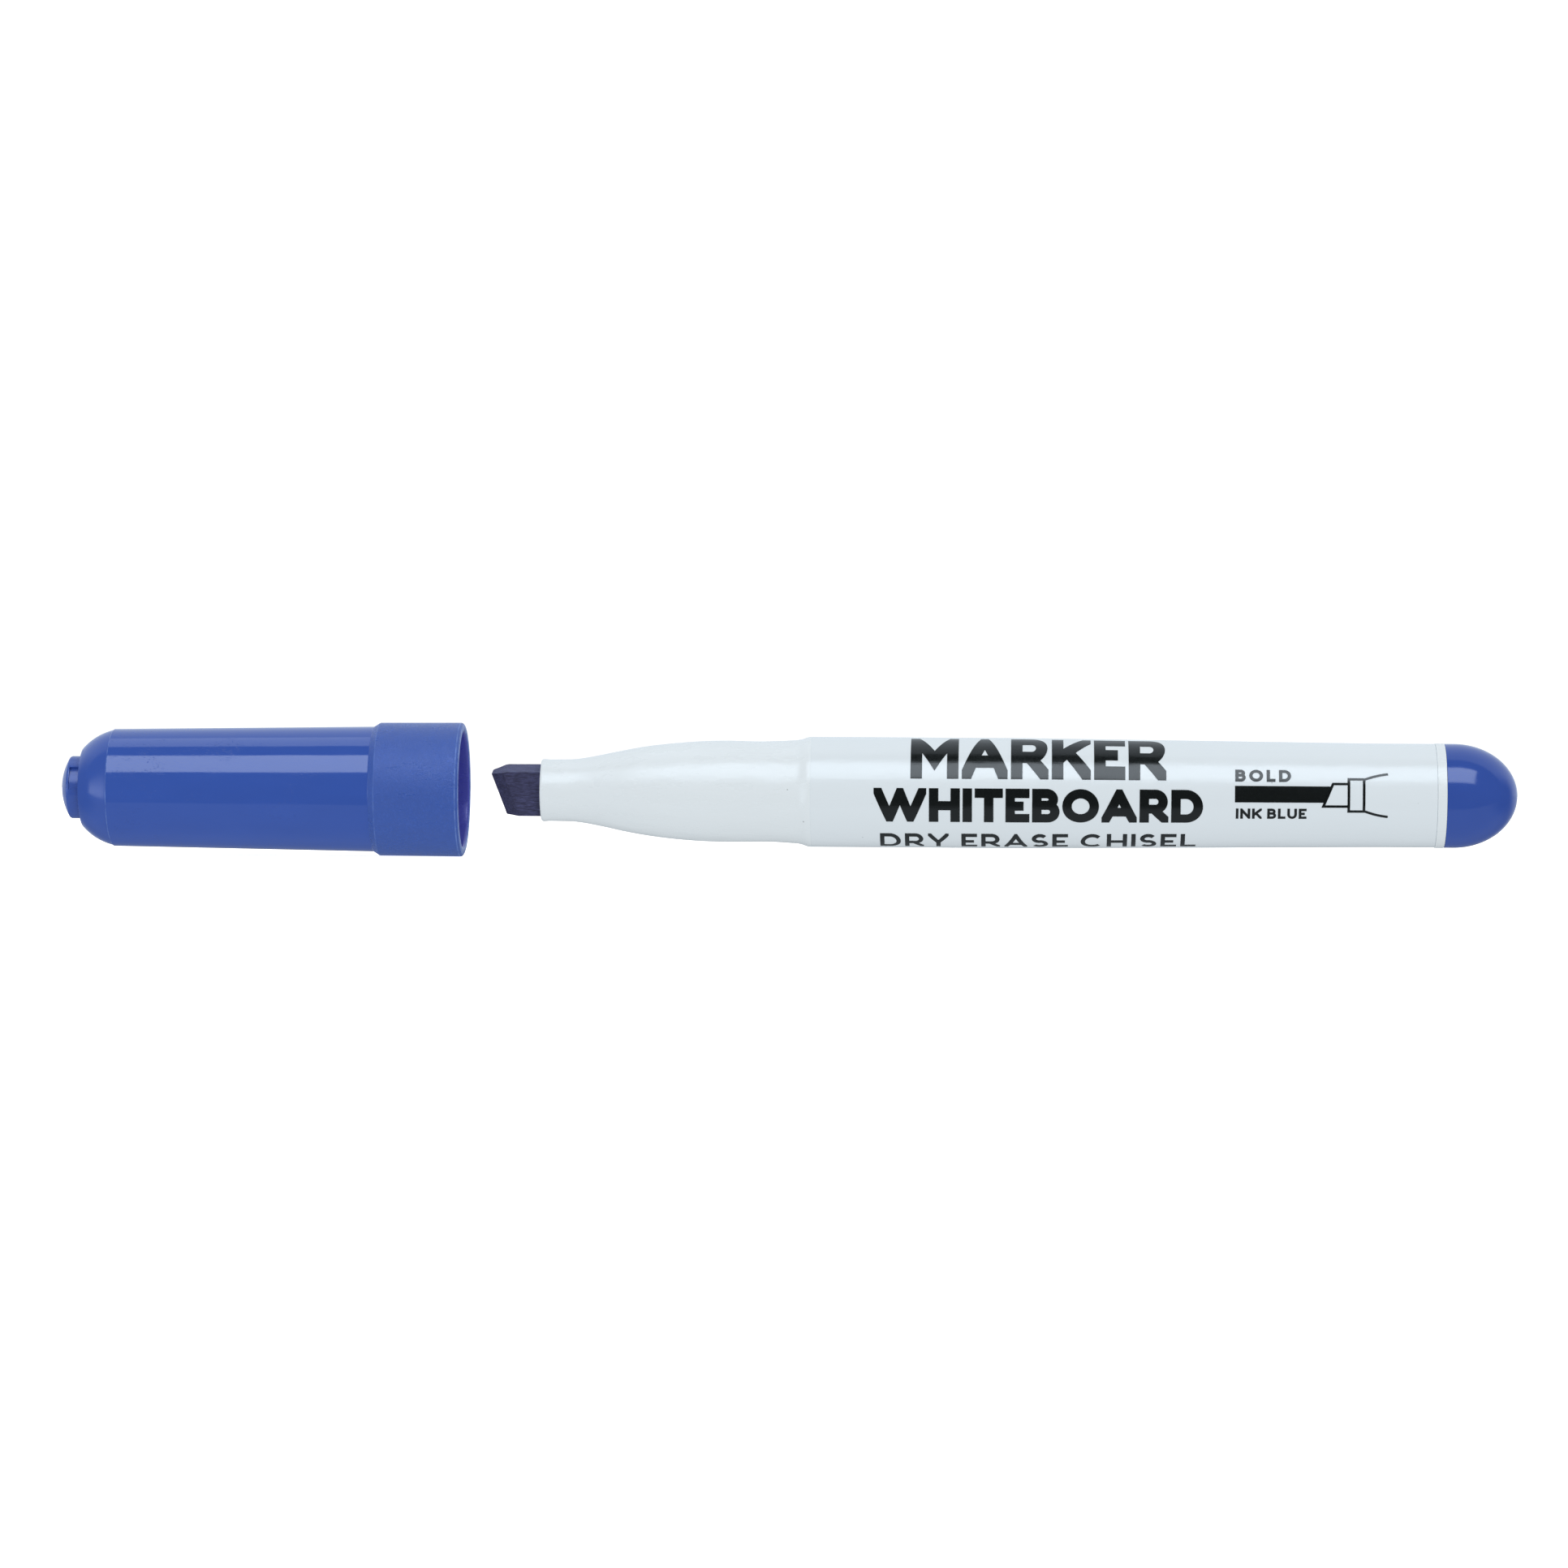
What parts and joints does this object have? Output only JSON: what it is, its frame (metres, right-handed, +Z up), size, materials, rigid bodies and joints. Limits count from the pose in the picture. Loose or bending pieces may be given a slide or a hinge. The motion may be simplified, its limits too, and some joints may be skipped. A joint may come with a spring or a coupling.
{
  "type": "whiteboard marker",
  "caption": "Chisel-tip whiteboard marker with its vented cap pulled off: domed end plug, printed white barrel with a slim neck, dark fibre nib, and a blue cap with a wide collar.",
  "frame": {"origin": "below the middle of the whole length with the cap pulled off, at the height of the cap collar's lowest line, on which the marker lies", "axes": "+X along the marker from the cap's nose to the end plug, +Z up, the printed side faces -Y"},
  "size_m": [0.1884, 0.0174, 0.0174],
  "materials": {
    "cap_plastic": "glossy moulded polypropylene in blue, with a satin collar",
    "plug_plastic": "glossy moulded polypropylene in the cap's blue",
    "barrel_plastic": "cool white moulded polypropylene, soft gloss with faint sink waves",
    "label_film": null,
    "nib_fibre": "dense ink-soaked fibre with fine streaks along its length",
    "reservoir_fibre": "ink-soaked fibre bundle",
    "sheath_film": "thin clear-white film"
  },
  "bodies": {
    "body": {"barrel": "barrel_plastic", "label_film": "label_film", "nib": "nib_fibre", "reservoir_core": "reservoir_fibre", "reservoir_sheath": "sheath_film", "end_plug": "plug_plastic"},
    "cap": {"cap_shell": "cap_plastic", "inner_cap": "cap_plastic"}
  },
  "joints": [
    {"name": "cap_slide", "type": "slide", "parent": "body", "child": "cap", "axis": [1, 0, 0], "range_m": [0, 0.048]}
  ]
}
